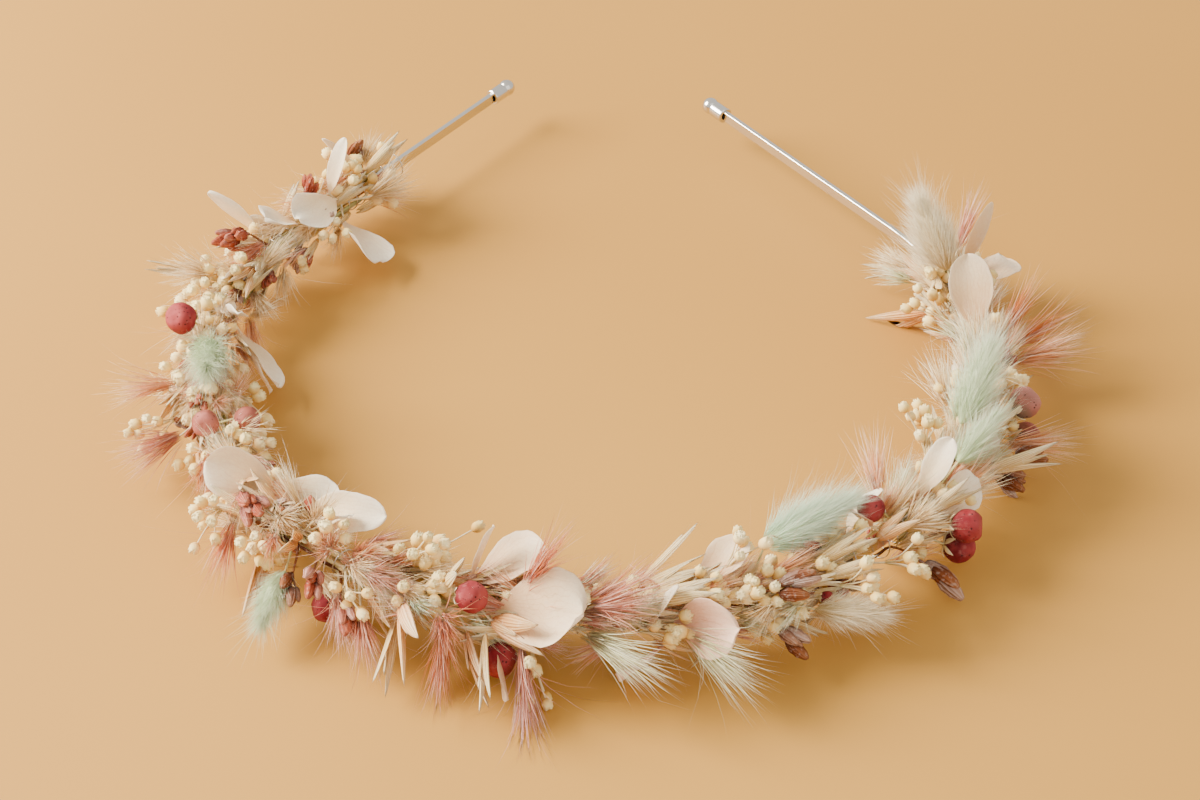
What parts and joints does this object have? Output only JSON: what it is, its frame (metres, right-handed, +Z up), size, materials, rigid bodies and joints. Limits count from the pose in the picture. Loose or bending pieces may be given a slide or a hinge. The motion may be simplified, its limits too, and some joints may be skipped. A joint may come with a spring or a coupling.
{
  "type": "flower crown",
  "caption": "Open headband of springy flat steel strip with ball ends, wound with dried petals, bunny tails, berries, oats and pods bound on by fine wire.",
  "frame": {"origin": "under the middle of the whole outline, on the table the crown lies on", "axes": "+Z up, square to the plane of the band, +Y towards the open back between the ball ends, -Y towards the middle of the band, +X to the right of someone who looks at the crown from its middle"},
  "size_m": [0.1758, 0.1866, 0.0276],
  "materials": {
    "steel": "polished spring steel",
    "binding_wire": "fine drawn wire",
    "petal": "preserved hydrangea petal, thin and faintly veined",
    "bunny_tail": "soft dyed grass hair",
    "berry": "wrinkled dried pepper berry",
    "broom_bloom": "dry seed balls on thin stalks",
    "oat": "papery ribbed husk",
    "husk": "papery ribbed husk, peach",
    "dyed_grass": "fine dyed grass hair",
    "seed_pod": "dry ribbed pod"
  },
  "bodies": {
    "middle": {"band_middle": "steel", "binding_middle": "binding_wire", "berry_front_left": "berry", "tuft_front_left": "dyed_grass", "broom_front_left": "broom_bloom", "husk_front_left": "husk", "tuft_front_coral": "dyed_grass", "floret_front": "petal", "petal_front_big": "petal", "berry_front_top": "berry", "husk_front_forked": "husk", "oat_front_long": "oat", "berry_front_low": "berry", "broom_front_low": "broom_bloom", "tuft_front_mauve": "dyed_grass", "tuft_front_green": "dyed_grass", "floret_front_right": "petal", "oats_front_right": "oat", "broom_front_right": "broom_bloom", "tail_front_right_aqua": "bunny_tail", "pods_front_right": "seed_pod", "tail_front_right_cream": "bunny_tail"},
    "left_arm": {"band_left_arm": "steel", "ball_end_left": "steel", "binding_left": "binding_wire", "pods_left_end": "seed_pod", "floret_left_end": "petal", "pods_left_back": "seed_pod", "broom_left_back": "broom_bloom", "berry_left_back": "berry", "floret_left": "petal", "tail_left_mint": "bunny_tail", "broom_left": "broom_bloom", "tuft_left_peach": "dyed_grass", "berries_left": "berry", "floret_left_front": "petal", "tuft_left_coral": "dyed_grass", "husk_left": "husk", "pods_left_front": "seed_pod", "broom_left_front": "broom_bloom", "petal_left_pointing": "petal", "tail_left_front_mint": "bunny_tail"},
    "right_arm": {"band_right_arm": "steel", "ball_end_right": "steel", "binding_right": "binding_wire", "berry_right_top": "berry", "floret_right": "petal", "berries_right": "berry", "tuft_right_peach": "dyed_grass", "tail_right_mint": "bunny_tail", "oat_right_long": "oat", "broom_right": "broom_bloom", "pods_right": "seed_pod", "tail_right_back_mint": "bunny_tail", "berries_right_back": "berry", "tuft_right_back": "dyed_grass", "floret_right_back": "petal", "tail_right_back_cream": "bunny_tail", "floret_right_end": "petal", "husk_right_end": "husk"}
  },
  "joints": [
    {"name": "left_arm_flex", "type": "hinge", "parent": "middle", "child": "left_arm", "pos_m": [-0.04711, -0.056, 0.009], "axis": [0, 0, 1], "range_deg": [-3, 10], "stiffness_Nm_per_rad": 0.33},
    {"name": "right_arm_flex", "type": "hinge", "parent": "middle", "child": "right_arm", "pos_m": [0.04308, -0.056, 0.009], "axis": [0, 0, -1], "range_deg": [-3, 10], "stiffness_Nm_per_rad": 0.33}
  ]
}
